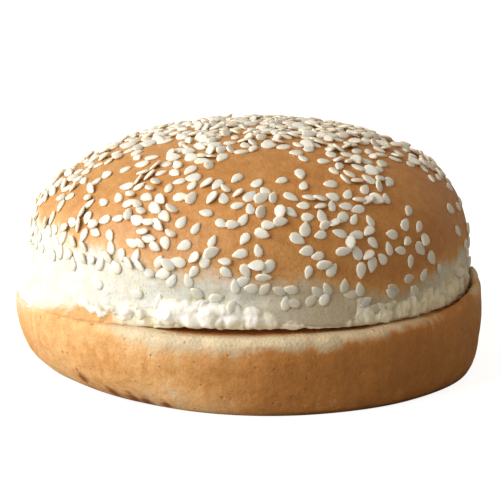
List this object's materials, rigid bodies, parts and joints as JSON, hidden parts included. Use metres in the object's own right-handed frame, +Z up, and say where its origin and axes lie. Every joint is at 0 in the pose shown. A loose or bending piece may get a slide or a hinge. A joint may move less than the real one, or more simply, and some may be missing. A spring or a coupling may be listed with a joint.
{
  "type": "sesame burger bun",
  "caption": "Round sliced burger bun: a domed golden crown covered in sesame seeds rests on a flat-bottomed heel, with a pale torn edge and a thin gap between them.",
  "frame": {"origin": "centre of the heel's flat underside, on the surface the bun stands on", "axes": "+Z up through the dome, -Y towards the side with the open slit, +X towards the right of that side"},
  "size_m": [0.1044, 0.1046, 0.0552],
  "materials": {
    "crown_crust": "satin golden brown baked crust with a faint egg-wash sheen, fading to a cream band at the lower edge",
    "sesame": "satin cream hulled sesame seed",
    "crumb": "matt, soft, open white crumb",
    "heel_crust": "matt golden crust with small pores, browner at the foot and cream at the sliced rim"
  },
  "bodies": {
    "root": {"crown": "crown_crust", "heel": "heel_crust"}
  },
  "joints": []
}
